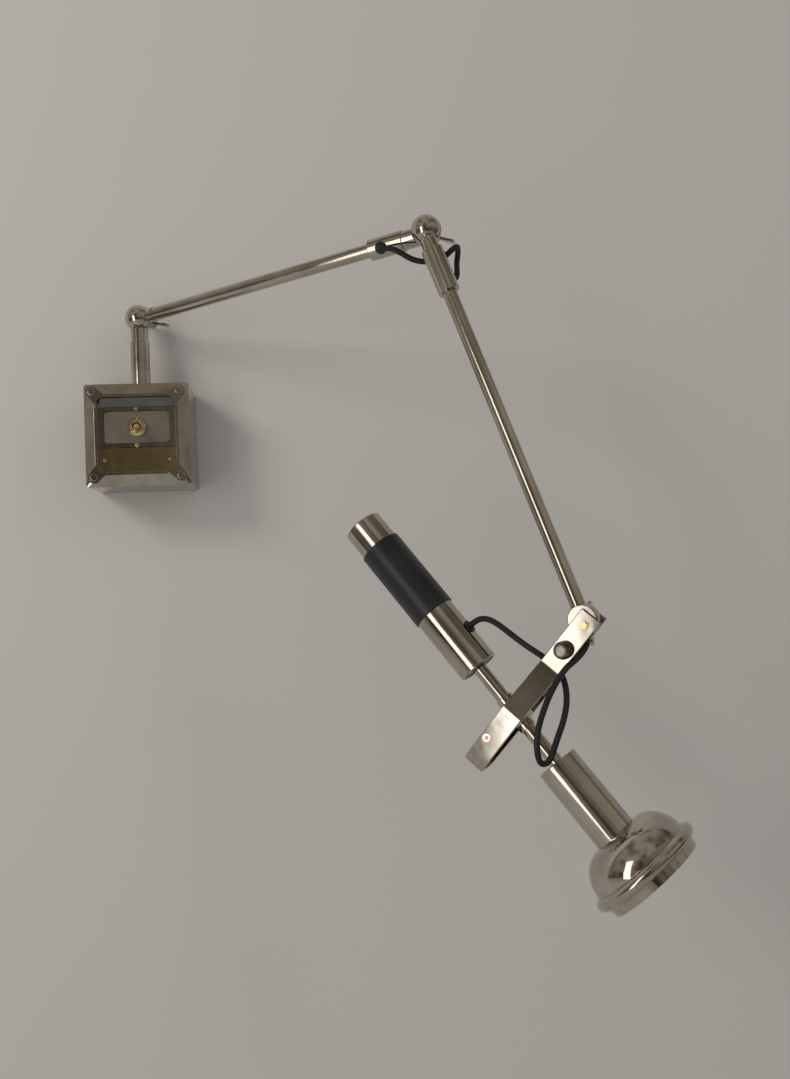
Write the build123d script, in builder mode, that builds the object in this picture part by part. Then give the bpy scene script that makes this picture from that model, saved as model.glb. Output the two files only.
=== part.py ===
from build123d import *
from math import pi, radians, sqrt, tan
import os

os.makedirs("parts", exist_ok=True)

# An articulating wall lamp: a wall box with a toggle switch, a swivelling post, two arms with
# split-ball knuckles, a folded strip bracket, and a lamp head that slides and turns in a clamp.
# Millimetres. The origin is the middle of the box's back face, against the wall.
# +X runs to the right along the wall, -Y points into the room and +Z is up.

# ---------------------------------------------------------------- fits and stock sizes
running = 0.05              # radial clearance of a pin or spigot that turns
snug = 0.02                 # radial clearance of pieces that are fixed together
ball_clear = 0.4            # room round a half ball, in the stem of the other half
tube_diameter = 12.7
tube_wall = 1.2
stem_diameter = 17.0        # stem of a knuckle
sleeve_diameter = 19.0
spigot_length = 11.0        # how far a stem's spigot goes into its sleeve or tube
ball_radius = 13.25
bolt_diameter = 6.0
friction_washer = 1.2
washer_thickness = 1.2
washer_diameter = 11.5
nut_play = 0.1              # gap between a hand nut and its washer
cord_diameter = 5.0
cord_play = 0.4             # across the cord, in the wrist ball's socket
cord_ease = 0.45            # share of a run that each arc of a cord takes

# ---------------------------------------------------------------- wall box
box_width = 100.0
box_height = 100.0
box_depth = 56.0
box_wall = 3.0
box_corner = 3.0
fixing_spacing = 60.0       # wall screws
fixing_hole = 5.0
cable_hole = 16.0
side_hole = 5.0
side_hole_depth = 18.0
cover_skirt = 4.0
cover_slope = 6.0
window_width = 74.0
window_height = 73.0
window_corner = 6.0
rim_width = 2.8
cover_screw_inset = 8.7     # from the box's edges
cover_screw_diameter = 3.2
cover_screw_length = 24.0
cover_screw_head = 7.4
cover_screw_head_height = 1.8
ear_radius = 5.6
ear_web_radius = 7.0
ear_proud = 0.4
pillar_radius = 6.5
panel_margin = 2.6          # how far the inner panel reaches behind the window's edge
panel_thickness = 2.0
panel_recess = 6.0          # below the rim
panel_gap = 0.3             # round the inner panel in its pocket
inset_gap = 0.4             # between the pieces that lie on the panel
inset_side = 1.4            # from those pieces to the window's sides
header_height = 9.2
header_thickness = 2.6
label_height = 23.4
label_thickness = 1.6
frame_thickness = 3.0
frame_bar = 3.4             # width of the switch frame's top and bottom bars
plate_width = 62.0
plate_thickness = 2.4
plate_corner = 4.0
plate_gap = 0.6
plate_screw_head = 5.0
plate_screw_diameter = 2.2
label_pin_spacing = 62.0
label_pin_head = 3.6
label_pin_diameter = 2.0
fixing_head_height = 1.4
fixing_head_taper = 25.0
terminal_width = 30.0
terminal_depth = 17.0
terminal_rise = 14.0
terminal_screw = 5.0
terminal_height = -24.0     # its middle, from the box's middle

# ---------------------------------------------------------------- toggle switch
ring_diameter = 17.5
ring_height = 3.4
ring_bore = 8.4
toggle_neck = 11.0
toggle_ball = 7.6
toggle_reach = 15.0         # from the lever's pivot to the end of its tip
toggle_tip = 5.2
toggle_stem = 3.0
toggle_down = 28.0          # the lever's rest angle below square
switch_width = 34.0
switch_height = 22.0
switch_body_depth = 22.0

# ---------------------------------------------------------------- post
post_reach = 30.0           # from the wall to the post's axis
post_diameter = 18.7
seam_height = 20.0          # from the box's top to the swivel's seam
post_sleeve_length = 28.0
knuckle_rise = 24.0         # from the top of the post's sleeve to the ball's centre
socket_thread = 14.0
socket_tail = 9.0
socket_nut_width = 20.0
socket_nut_height = 4.5
post_spigot = 10.0
clip_diameter = 15.0
clip_thickness = 1.2
clip_gap = 0.5

# ---------------------------------------------------------------- arms, as they stand
arm_swivel = 27.66          # degrees from the wall
upper_rise = 5.66           # degrees above level
upper_length = 315.0        # ball centre to ball centre, along the arm
lower_turn = -75.96         # degrees from the upper arm to the lower arm
lower_length = 363.3        # ball centre to ball centre, along the arm
stem_offset = 8.5           # from a knuckle's split plane to the stem's axis, at the elbow
upper_neck_diameter = 12.5
upper_neck_length = 17.0
collar_diameter = 14.0
collar_width = 1.8
upper_sleeve_end = 24.5     # from the elbow ball's centre
upper_sleeve_length = 33.0
upper_gland_reach = 44.0    # from the elbow ball's centre back to the cord's gland
upper_gland_turn = 24.0     # round the sleeve, from the side that faces the room
lower_sleeve_start = 23.0
lower_sleeve_length = 41.0
lower_gland_reach = 50.5
lower_gland_turn = -158.0
gland_diameter = 9.5
gland_flange = 11.0
gland_flange_height = 1.0
gland_depth = 3.0
bolt_grip = 7.0             # how far a knuckle's bolt goes into the half ball that holds it
nut_hub_height = 9.5
nut_hub_diameter = 10.5
nut_span = 37.0
leaf_height = 9.5
leaf_thickness = 2.4
leaf_rise = 5.2             # from the nut's seat to the underside of its leaves
shoulder_leaf_angle = -12.6
elbow_leaf_angle = -19.2
wrist_leaf_angle = 90.8

# ---------------------------------------------------------------- wrist and bracket
wrist_pin_drop = 4.7        # from the wrist ball's centre to its pin, along the arm
wrist_ball_width = 14.0     # between its flats
wrist_pin_diameter = 5.0
wrist_pin_head = 6.4
wrist_ring_diameter = 9.0
wrist_ring_height = 0.8
cord_socket_depth = 4.0
cord_way_turn = -10.0       # from the lower arm's line to the cord's socket in the wrist ball
strip_width = 18.5
strip_thickness = 3.0
strip_turn = -60.43         # degrees from the lower arm to the bracket
strip_end = 10.0            # the front leg's end, behind the pin
strip_rear_extra = 3.0      # the rear leg is this much longer
strip_bend = 44.4           # where the legs part, from the pin
strip_kink = 91.2           # where they are widest apart
strip_kink_gap = 34.0       # between the legs there
strip_tip = 150.0
strip_tip_gap = 22.0
bend_radius = 8.0
kink_radius = 6.0
tip_radius = 8.0
edge_chamfer = 0.5
stud_reach = 25.3           # the thumb knob's stud, from the pin
stud_diameter = 5.0
knob_diameter = 15.0
knob_face = 9.4
knob_height = 12.0
knob_rim = 4.5
stud_thread = 9.0
stud_head = 9.0
stud_head_height = 1.5
rivet_reach = 121.4
rivet_offset = -4.1
rivet_diameter = 3.2
rivet_ring = 7.0
rivet_ring_height = 0.8
rivet_sink = 0.45           # how deep the rivet's rings are let into the slanted legs
spacer_diameter = 7.0

# ---------------------------------------------------------------- clamp and lamp head
clamp_reach = 93.9          # from the wrist pin to the rod
head_turn = 79.68           # degrees from the bracket to the head's axis
drum_diameter = 21.0
drum_play = 0.3             # between the drum and each leg
trunnion_diameter = 6.0
trunnion_sink = 0.8
bush_diameter = 15.0
bush_length = 32.0
rod_diameter = 12.0
rod_bore = 8.0
handle_diameter = 35.0
handle_wall = 2.0
handle_top = -209.0         # along the head's axis, from the clamp
handle_bottom = -47.8
grip_diameter = 37.5
grip_top = -183.4
grip_bottom = -107.3
cap_thickness = 2.5
cap_spigot = 6.0
plug_length = 22.0
plug_recess = 0.6
head_gland_reach = -78.5
head_gland_turn = -80.0      # round the handle, from the side that faces the room
rod_tail = -75.0
rod_end = 82.0
holder_diameter = 35.5
holder_wall = 1.5
holder_top = 50.6
holder_bottom = 121.3
holder_cap = 3.0
rod_nut_width = 19.0
rod_nut_height = 5.0
socket_diameter = 30.0
socket_top = 74.0
socket_bore = 26.6
shade_tilt = 3.0            # the housing's mouth is cut a little askew, and the shade sits on it
shade_wall = 1.2
shade_hole = 15.3           # radius of its hole, round the lampholder
shade_flat = 19.0           # radius of the flat at the shade's top
shade_dome_radius = 43.2
shade_dome_depth = 26.8
shade_bead_radius = 49.0
shade_bead_height = 10.4
shade_rim_radius = 41.8
shade_depth = 44.5
shade_ring_diameter = 37.0
shade_ring_height = 4.0
bulb_radius = 19.0
bulb_centre = 144.5
bulb_neck = 12.5
bulb_cap_length = 22.0
bulb_cap_diameter = 26.0


# ---------------------------------------------------------------- frames and shared shapes
def shifted(frame, along=0.0, across=0.0, out=0.0, turn=0.0):
    """The frame moved along its own axes, then turned about its z axis."""
    corner = frame.from_local_coords(Vector(along, across, out))
    heading = frame.x_dir.rotate(Axis(corner, frame.z_dir), turn)
    return Plane(corner, x_dir=heading, z_dir=frame.z_dir)


def section(frame, distance):
    """A plane square to the frame's x axis, that far along it."""
    corner = frame.from_local_coords(Vector(distance, 0, 0))
    return Plane(corner, x_dir=frame.y_dir, z_dir=frame.x_dir)


def radial(frame, distance, angle):
    """A plane that faces out of a tube along the frame's x axis, angle 0 towards its z axis."""
    corner = frame.from_local_coords(Vector(distance, 0, 0))
    outward = frame.z_dir.rotate(Axis(corner, frame.x_dir), angle)
    return Plane(corner, x_dir=frame.x_dir, z_dir=outward)


def bar(frame, start, end, diameter, mode=Mode.ADD):
    """A round bar along the frame's x axis."""
    with BuildSketch(section(frame, start)) as end_face:
        Circle(diameter / 2)
    extrude(end_face.sketch, amount=end - start, mode=mode)


def pin(frame, start, end, diameter, mode=Mode.ADD):
    """A round pin along the frame's z axis."""
    with BuildSketch(shifted(frame, out=start)) as end_face:
        Circle(diameter / 2)
    extrude(end_face.sketch, amount=end - start, mode=mode)


def turned(frame, outline):
    """A turned piece: (along, radius) points revolved about the frame's x axis."""
    with BuildSketch(frame) as half:
        with BuildLine():
            Polyline(*outline, close=True)
        make_face()
    revolve(half.sketch, axis=Axis(frame.origin, frame.x_dir))


def knuckle_half(joint, stem, diameter, length, side):
    """A half ball on one side of the split plane, with a stem hollowed round the other half."""
    bar(stem, 0, length, diameter)
    pin(joint, -half_washer, half_washer, 2 * (ball_radius + ball_clear), Mode.SUBTRACT)
    own, other = ((0, 90), (-90, 0)) if side > 0 else ((-90, 0), (0, 90))
    with Locations(shifted(joint, out=-side * half_washer)):
        Sphere(ball_radius + ball_clear, *other, align=None, mode=Mode.SUBTRACT)
    with Locations(shifted(joint, out=side * half_washer)):
        Sphere(ball_radius, *own, align=None)


def wing_nut(joint, seat, angle, thread):
    """A wing nut behind a joint, its two leaves at the given angle."""
    frame = shifted(joint, turn=angle)
    top = -(seat + nut_hub_height)
    pin(frame, -seat, top, nut_hub_diameter)
    leaf_plane = Plane(frame.origin, x_dir=frame.x_dir, z_dir=-frame.y_dir)
    root = -(seat + leaf_rise)
    with BuildSketch(leaf_plane) as leaf:
        with BuildLine():
            Polyline(
                (0, root),
                (nut_hub_diameter / 2, root),
                (nut_span / 2, root - 1.0),
                (nut_span / 2, root - leaf_height),
                (nut_span / 2 - 6.0, root - leaf_height),
                (nut_hub_diameter / 2, top),
                (0, top),
                close=True,
            )
        make_face()
        fillet(leaf.vertices().sort_by(Axis.X)[-2:], 3.0)
        mirror(about=Plane.YZ)
    extrude(leaf.sketch, amount=leaf_thickness / 2, both=True)
    pin(frame, 0, top - nut_play, thread + 2 * running, Mode.SUBTRACT)


def spot_face(joint):
    """The flat behind a rear half ball, where the nut's washer sits."""
    pin(joint, -rear_flat, -2 * ball_radius, washer_diameter + 1.0, Mode.SUBTRACT)


def washer(joint, start, end, diameter, hole):
    """A flat washer round the joint's z axis."""
    with BuildSketch(shifted(joint, out=start)) as ring:
        Circle(diameter / 2)
        Circle(hole / 2, mode=Mode.SUBTRACT)
    extrude(ring.sketch, amount=end - start)


def gland(place, radius):
    """A rubber gland moulded on the cord, in a tube wall of the given outer radius."""
    pin(place, radius - gland_depth, radius, gland_diameter - 2 * snug)
    pin(place, radius, radius + gland_flange_height, gland_flange)


def front(distance):
    """A plane that faces the room, that far from the wall: sketch x is X and sketch y is Z."""
    return Plane(origin=(0, -distance, 0), x_dir=(1, 0, 0), z_dir=(0, -1, 0))


cover_front = box_depth + cover_skirt + cover_slope
panel_front = cover_front - panel_recess
window_top = window_height / 2
inset_width = window_width - 2 * inset_side
frame_height = window_height - header_height - label_height - 4 * inset_gap
header_centre = window_top - inset_gap - header_height / 2
frame_centre = header_centre - header_height / 2 - inset_gap - frame_height / 2
label_centre = -window_top + inset_gap + label_height / 2
plate_height = frame_height - 2 * frame_bar - 2 * plate_gap
plate_screw_offset = plate_height / 2 + plate_gap + frame_bar / 2
screw_x = box_width / 2 - cover_screw_inset
screw_z = box_height / 2 - cover_screw_inset
seam = box_height / 2 + seam_height
sleeve_top = seam + post_sleeve_length
ball_height = sleeve_top + knuckle_rise
half_washer = friction_washer / 2
rear_flat = half_washer + ball_radius - 2.0
nut_seat = rear_flat + washer_thickness + nut_play
bolt_end = nut_seat + nut_hub_height + 3.0
bolt_hole = bolt_diameter + 2 * running
tube_bore = tube_diameter - 2 * tube_wall

toward_room = Vector(0, -1, 0).rotate(Axis.Z, -arm_swivel)
along_arm = Vector(1, 0, 0).rotate(Axis.Z, -arm_swivel)
post = Plane(origin=(0, -post_reach, 0), x_dir=(0, 0, 1), z_dir=toward_room)
shoulder = Plane(origin=(0, -post_reach, ball_height), x_dir=along_arm, z_dir=toward_room)
post_stem = shifted(shoulder, turn=-90)
upper = shifted(shoulder, turn=upper_rise)
elbow = shifted(upper, along=upper_length, out=stem_offset)
upper_stem = shifted(upper, along=upper_length, turn=180)
lower = shifted(elbow, out=stem_offset, turn=lower_turn)
wrist_ball_place = shifted(lower, along=lower_length)
cord_way = shifted(wrist_ball_place, turn=cord_way_turn)
wrist = shifted(lower, along=lower_length + wrist_pin_drop)
strip = shifted(wrist, turn=strip_turn)
clamp = shifted(strip, along=clamp_reach)
head = shifted(clamp, turn=head_turn)
lamp = shifted(head, along=holder_bottom, turn=shade_tilt)

# ---------------------------------------------------------------- wall box
with BuildPart() as back_box:
    with BuildSketch(front(0)):
        RectangleRounded(box_width, box_height, box_corner)
    extrude(amount=box_depth)
    with BuildSketch(front(box_wall)):
        RectangleRounded(box_width - 2 * box_wall, box_height - 2 * box_wall, box_corner)
    extrude(amount=box_depth - box_wall, mode=Mode.SUBTRACT)
    with BuildSketch(front(box_wall)):
        with GridLocations(2 * screw_x, 2 * screw_z, 2, 2):
            Circle(pillar_radius)
    extrude(amount=box_depth - box_wall)
    with BuildSketch(front(box_depth)):
        with GridLocations(2 * screw_x, 2 * screw_z, 2, 2):
            Circle(cover_screw_diameter / 2 + snug)
    extrude(amount=-cover_screw_length + cover_skirt, mode=Mode.SUBTRACT)
    with BuildSketch(front(0)):
        Circle(cable_hole / 2)
        with GridLocations(fixing_spacing, fixing_spacing, 2, 2):
            Circle(fixing_hole / 2)
    extrude(amount=box_wall, mode=Mode.SUBTRACT)
    with BuildSketch(Plane.XY.offset(box_height / 2)):
        with Locations((0, -post_reach)):
            Circle(socket_thread / 2 + snug)
    extrude(amount=-box_wall, mode=Mode.SUBTRACT)
    with BuildSketch(Plane.YZ.offset(box_width / 2)):
        with Locations((-side_hole_depth, 0)):
            Circle(side_hole / 2)
    extrude(amount=-box_wall, mode=Mode.SUBTRACT)
back_box.part.label = "back_box"

rim_outer_width = window_width + 2 * rim_width
rim_outer_height = window_height + 2 * rim_width
web_x = rim_outer_width / 2 - ear_web_radius
web_z = rim_outer_height / 2 - ear_web_radius
screw_seat = cover_front + ear_proud

with BuildPart() as front_cover:
    with BuildSketch(front(box_depth)):
        RectangleRounded(box_width, box_height, box_corner)
    extrude(amount=cover_skirt)
    with BuildSketch(front(box_depth + cover_skirt)):
        RectangleRounded(box_width, box_height, box_corner)
    with BuildSketch(front(cover_front)):
        RectangleRounded(rim_outer_width, rim_outer_height, window_corner + rim_width)
    loft()
    for x_side in (-1, 1):
        for z_side in (-1, 1):
            with BuildSketch(front(box_depth + cover_skirt)):
                with Locations((x_side * screw_x, z_side * screw_z)):
                    Circle(ear_radius)
                with Locations((x_side * web_x, z_side * web_z)):
                    Circle(ear_web_radius)
                make_hull()
            extrude(amount=screw_seat - box_depth - cover_skirt)
    with BuildSketch(front(box_depth)):
        RectangleRounded(window_width, window_height, window_corner)
        with GridLocations(2 * screw_x, 2 * screw_z, 2, 2):
            Circle(cover_screw_diameter / 2 + snug)
    extrude(amount=screw_seat - box_depth, mode=Mode.SUBTRACT)
    with BuildSketch(front(box_depth)):
        RectangleRounded(
            window_width + 2 * panel_margin,
            window_height + 2 * panel_margin,
            window_corner + panel_margin,
        )
    extrude(amount=panel_front - box_depth, mode=Mode.SUBTRACT)
front_cover.part.label = "front_cover"

with BuildPart() as cover_screws:
    with BuildSketch(front(screw_seat)):
        with GridLocations(2 * screw_x, 2 * screw_z, 2, 2):
            Circle(cover_screw_head / 2)
    extrude(amount=cover_screw_head_height)
    fillet(cover_screws.edges().group_by(Axis.Y)[0], 0.8)
    with BuildSketch(front(screw_seat)):
        with GridLocations(2 * screw_x, 2 * screw_z, 2, 2):
            Circle(cover_screw_diameter / 2)
    extrude(amount=-cover_screw_length)
cover_screws.part.label = "cover_screws"

with BuildPart() as inner_panel:
    with BuildSketch(front(panel_front)):
        RectangleRounded(
            window_width + 2 * panel_margin - 2 * panel_gap,
            window_height + 2 * panel_margin - 2 * panel_gap,
            window_corner + panel_margin - panel_gap,
        )
        with Locations((0, frame_centre)):
            Circle(toggle_neck / 2 + snug, mode=Mode.SUBTRACT)
    extrude(amount=-panel_thickness)
inner_panel.part.label = "inner_panel"

with BuildPart() as header_bar:
    with BuildSketch(front(panel_front)) as header_outline:
        with Locations((0, header_centre)):
            Rectangle(inset_width, header_height)
        fillet(header_outline.vertices().sort_by(Axis.Y)[-2:], window_corner - 2.0)
    extrude(amount=header_thickness)
header_bar.part.label = "header_bar"

with BuildPart() as switch_frame:
    with BuildSketch(front(panel_front)):
        with Locations((0, frame_centre)):
            Rectangle(inset_width, frame_height)
            RectangleRounded(
                plate_width + 2 * plate_gap,
                plate_height + 2 * plate_gap,
                plate_corner + plate_gap,
                mode=Mode.SUBTRACT,
            )
    extrude(amount=frame_thickness)
    with BuildSketch(front(panel_front)):
        with Locations((0, frame_centre)):
            with GridLocations(0, 2 * plate_screw_offset, 1, 2):
                Circle(plate_screw_diameter / 2 + snug)
    extrude(amount=frame_thickness, mode=Mode.SUBTRACT)
switch_frame.part.label = "switch_frame"

with BuildPart() as switch_plate:
    with BuildSketch(front(panel_front)):
        with Locations((0, frame_centre)):
            RectangleRounded(plate_width, plate_height, plate_corner)
            Circle(toggle_neck / 2 + snug, mode=Mode.SUBTRACT)
    extrude(amount=plate_thickness)
switch_plate.part.label = "switch_plate"

with BuildPart() as label_plate:
    with BuildSketch(front(panel_front)) as label_outline:
        with Locations((0, label_centre)):
            Rectangle(inset_width, label_height)
            with GridLocations(label_pin_spacing, 0, 2, 1):
                Circle(label_pin_diameter / 2 + snug, mode=Mode.SUBTRACT)
        fillet(label_outline.vertices().group_by(Axis.Y)[0], window_corner - 1.0)
    extrude(amount=label_thickness)
label_plate.part.label = "label_plate"

screw_row = [(0, frame_centre - plate_screw_offset), (0, frame_centre + plate_screw_offset)]
pin_row = [(-label_pin_spacing / 2, label_centre), (label_pin_spacing / 2, label_centre)]
fixings = [
    (screw_row, plate_screw_diameter, frame_thickness, plate_screw_head),
    (pin_row, label_pin_diameter, label_thickness, label_pin_head),
]
with BuildPart() as brass_fixings:
    for places, shank, grip, head_size in fixings:
        with BuildSketch(front(panel_front)):
            with Locations(*places):
                Circle(shank / 2)
        extrude(amount=grip)
        with BuildSketch(front(panel_front + grip)):
            with Locations(*places):
                Circle(head_size / 2)
        extrude(amount=fixing_head_height, taper=fixing_head_taper)
brass_fixings.part.label = "brass_fixings"

# ---------------------------------------------------------------- toggle switch
plate_face = panel_front + plate_thickness
toggle_face = plate_face + ring_height
toggle_pivot = toggle_face - toggle_ball / 2 + 1.2
switch_face = panel_front - panel_thickness
toggle_axis = Plane(origin=(0, 0, frame_centre), x_dir=(0, -1, 0), z_dir=(1, 0, 0))

with BuildPart() as toggle_ring:
    turned(
        toggle_axis,
        [
            (switch_face, ring_bore / 2),
            (switch_face, toggle_neck / 2),
            (plate_face, toggle_neck / 2),
            (plate_face, ring_diameter / 2),
            (plate_face + 1.4, ring_diameter / 2),
            (toggle_face, ring_diameter / 2 - 2.2),
            (toggle_face, ring_bore / 2 + 1.0),
            (toggle_face - 1.0, ring_bore / 2),
        ],
    )
toggle_ring.part.label = "toggle_ring"

lever = shifted(toggle_axis, along=toggle_pivot, turn=toggle_down)
tip_reach_out = toggle_reach - toggle_tip / 2
with BuildPart() as toggle_lever:
    with Locations(section(lever, 0)):
        Sphere(toggle_ball / 2)
        Cone(
            toggle_stem / 2,
            toggle_tip / 2 - 0.3,
            tip_reach_out,
            align=(Align.CENTER, Align.CENTER, Align.MIN),
        )
    with Locations(section(lever, tip_reach_out)):
        Sphere(toggle_tip / 2)
toggle_lever.part.label = "toggle_lever"

with BuildPart() as switch_body:
    with BuildSketch(front(switch_face)):
        with Locations((0, frame_centre)):
            RectangleRounded(switch_width, switch_height, 2.0)
    extrude(amount=-switch_body_depth)
    fillet(switch_body.edges().group_by(Axis.Y)[-1], 1.0)
switch_body.part.label = "switch_body"

with BuildPart() as terminal_block:
    with BuildSketch(front(box_wall)):
        with Locations((0, terminal_height)):
            Rectangle(terminal_width, terminal_depth)
    extrude(amount=terminal_rise)
    with BuildSketch(front(box_wall + terminal_rise)):
        with Locations((0, terminal_height)):
            with GridLocations(terminal_width / 3, 0, 3, 1):
                Circle(terminal_screw / 2)
    extrude(amount=-terminal_rise / 2, mode=Mode.SUBTRACT)
    chamfer(terminal_block.edges().filter_by(Axis.Y).group_by(Axis.Z)[-1], 1.0)
terminal_block.part.label = "terminal_block"

# ---------------------------------------------------------------- post
box_top = box_height / 2
socket_end = box_top - socket_tail
clip_height = socket_end - clip_gap
spigot_end = clip_height - clip_thickness - 1.0

with BuildPart() as post_socket:
    turned(
        post,
        [
            (socket_end, post_spigot / 2 + running),
            (socket_end, socket_thread / 2),
            (box_top, socket_thread / 2),
            (box_top, post_diameter / 2),
            (seam - 0.3, post_diameter / 2),
            (seam, post_diameter / 2 - 0.3),
            (seam, post_spigot / 2 + running),
        ],
    )
post_socket.part.label = "post_socket"

with BuildPart() as socket_nut:
    with BuildSketch(Plane.XY.offset(box_top - box_wall)):
        with Locations((0, -post_reach)):
            RegularPolygon(socket_nut_width / 2, 6, major_radius=False)
            Circle(socket_thread / 2 + snug, mode=Mode.SUBTRACT)
    extrude(amount=-socket_nut_height)
socket_nut.part.label = "socket_nut"

with BuildPart() as post_sleeve:
    turned(
        post,
        [
            (spigot_end, 0),
            (spigot_end, post_spigot / 2),
            (seam, post_spigot / 2),
            (seam, post_diameter / 2 - 0.3),
            (seam + 0.3, post_diameter / 2),
            (sleeve_top - 0.5, post_diameter / 2),
            (sleeve_top, post_diameter / 2 - 0.5),
            (sleeve_top, tube_diameter / 2 + snug),
            (sleeve_top - spigot_length, tube_diameter / 2 + snug),
            (sleeve_top - spigot_length, 0),
        ],
    )
post_sleeve.part.label = "post_sleeve"

with BuildPart() as swivel_clip:
    turned(
        post,
        [
            (clip_height - clip_thickness, post_spigot / 2 + snug),
            (clip_height - clip_thickness, clip_diameter / 2),
            (clip_height, clip_diameter / 2),
            (clip_height, post_spigot / 2 + snug),
        ],
    )
swivel_clip.part.label = "swivel_clip"

# ---------------------------------------------------------------- shoulder knuckle
with BuildPart() as post_knuckle:
    knuckle_half(shoulder, post_stem, stem_diameter, knuckle_rise, -1)
    bar(post_stem, knuckle_rise, knuckle_rise + spigot_length, tube_diameter)
    spot_face(shoulder)
    pin(shoulder, 0, -bolt_end, bolt_hole, Mode.SUBTRACT)
post_knuckle.part.label = "post_knuckle"

with BuildPart() as shoulder_washers:
    washer(shoulder, -half_washer, half_washer, 2 * ball_radius - 1.0, bolt_hole)
    washer(shoulder, -rear_flat, -nut_seat + nut_play, washer_diameter, bolt_hole)
shoulder_washers.part.label = "shoulder_washers"

with BuildPart() as shoulder_bolt:
    pin(shoulder, bolt_grip, -bolt_end, bolt_diameter)
shoulder_bolt.part.label = "shoulder_bolt"

with BuildPart() as shoulder_wing_nut:
    wing_nut(shoulder, nut_seat, shoulder_leaf_angle, bolt_diameter)
shoulder_wing_nut.part.label = "shoulder_wing_nut"

tube_start = upper_neck_length + collar_width
with BuildPart() as arm_knuckle:
    knuckle_half(shoulder, upper, upper_neck_diameter, upper_neck_length, 1)
    bar(upper, upper_neck_length, tube_start, collar_diameter)
    bar(upper, tube_start, tube_start + spigot_length, tube_bore - 2 * snug)
    pin(shoulder, 0, bolt_grip, bolt_diameter + 2 * snug, Mode.SUBTRACT)
arm_knuckle.part.label = "arm_knuckle"

# ---------------------------------------------------------------- upper arm
sleeve_near = upper_length - upper_sleeve_end - upper_sleeve_length
sleeve_far = upper_length - upper_sleeve_end
tube_end = sleeve_far - spigot_length - 1.0
upper_gland_place = radial(upper, upper_length - upper_gland_reach, upper_gland_turn)

with BuildPart() as upper_tube:
    turned(
        upper,
        [
            (tube_start, tube_bore / 2),
            (tube_start, tube_diameter / 2),
            (tube_end, tube_diameter / 2),
            (tube_end, tube_bore / 2),
        ],
    )
    pin(upper_gland_place, 0, sleeve_diameter, gland_diameter, Mode.SUBTRACT)
upper_tube.part.label = "upper_tube"

with BuildPart() as upper_sleeve:
    turned(
        upper,
        [
            (sleeve_near, tube_diameter / 2 + snug),
            (sleeve_near, sleeve_diameter / 2 - 0.4),
            (sleeve_near + 0.4, sleeve_diameter / 2),
            (sleeve_far - 0.4, sleeve_diameter / 2),
            (sleeve_far, sleeve_diameter / 2 - 0.4),
            (sleeve_far, tube_diameter / 2 + snug),
        ],
    )
    pin(upper_gland_place, 0, sleeve_diameter, gland_diameter, Mode.SUBTRACT)
upper_sleeve.part.label = "upper_sleeve"

with BuildPart() as upper_gland:
    gland(upper_gland_place, sleeve_diameter / 2)
upper_gland.part.label = "upper_gland"

with BuildPart() as elbow_rear_knuckle:
    knuckle_half(elbow, upper_stem, stem_diameter, upper_sleeve_end, -1)
    bar(upper_stem, upper_sleeve_end, upper_sleeve_end + spigot_length, tube_diameter)
    spot_face(elbow)
    pin(elbow, 0, -bolt_end, bolt_hole, Mode.SUBTRACT)
elbow_rear_knuckle.part.label = "elbow_rear_knuckle"

with BuildPart() as elbow_washers:
    washer(elbow, -half_washer, half_washer, 2 * ball_radius - 1.0, bolt_hole)
    washer(elbow, -rear_flat, -nut_seat + nut_play, washer_diameter, bolt_hole)
elbow_washers.part.label = "elbow_washers"

with BuildPart() as elbow_bolt:
    pin(elbow, bolt_grip, -bolt_end, bolt_diameter)
elbow_bolt.part.label = "elbow_bolt"

with BuildPart() as elbow_wing_nut:
    wing_nut(elbow, nut_seat, elbow_leaf_angle - upper_rise, bolt_diameter)
elbow_wing_nut.part.label = "elbow_wing_nut"

# ---------------------------------------------------------------- lower arm
lower_sleeve_far = lower_sleeve_start + lower_sleeve_length
lower_tube_start = lower_sleeve_start + spigot_length + 1.0
lower_gland_place = radial(lower, lower_gland_reach, lower_gland_turn)
wrist_shoulder = lower_length - sqrt(ball_radius ** 2 - (tube_diameter / 2) ** 2)

with BuildPart() as elbow_front_knuckle:
    knuckle_half(elbow, lower, stem_diameter, lower_sleeve_start, 1)
    bar(lower, lower_sleeve_start, lower_sleeve_start + spigot_length, tube_diameter)
    pin(elbow, 0, bolt_grip, bolt_diameter + 2 * snug, Mode.SUBTRACT)
elbow_front_knuckle.part.label = "elbow_front_knuckle"

with BuildPart() as lower_sleeve:
    turned(
        lower,
        [
            (lower_sleeve_start, tube_diameter / 2 + snug),
            (lower_sleeve_start, sleeve_diameter / 2 - 0.4),
            (lower_sleeve_start + 0.4, sleeve_diameter / 2),
            (lower_sleeve_far - 0.4, sleeve_diameter / 2),
            (lower_sleeve_far, sleeve_diameter / 2 - 0.4),
            (lower_sleeve_far, tube_diameter / 2 + snug),
        ],
    )
    pin(lower_gland_place, 0, sleeve_diameter, gland_diameter, Mode.SUBTRACT)
lower_sleeve.part.label = "lower_sleeve"

with BuildPart() as lower_gland:
    gland(lower_gland_place, sleeve_diameter / 2)
lower_gland.part.label = "lower_gland"

with BuildPart() as lower_tube:
    turned(
        lower,
        [
            (lower_tube_start, tube_bore / 2),
            (lower_tube_start, tube_diameter / 2),
            (wrist_shoulder - 0.1, tube_diameter / 2),
            (wrist_shoulder - 0.1, tube_bore / 2),
        ],
    )
    pin(lower_gland_place, 0, sleeve_diameter, gland_diameter, Mode.SUBTRACT)
lower_tube.part.label = "lower_tube"

# ---------------------------------------------------------------- wrist
ball_flat = wrist_ball_width / 2 - running
leg_inner = wrist_ball_width / 2
leg_outer = leg_inner + strip_thickness
wrist_nut_seat = leg_outer + washer_thickness + nut_play
wrist_pin_end = wrist_nut_seat + nut_hub_height + 3.0

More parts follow.
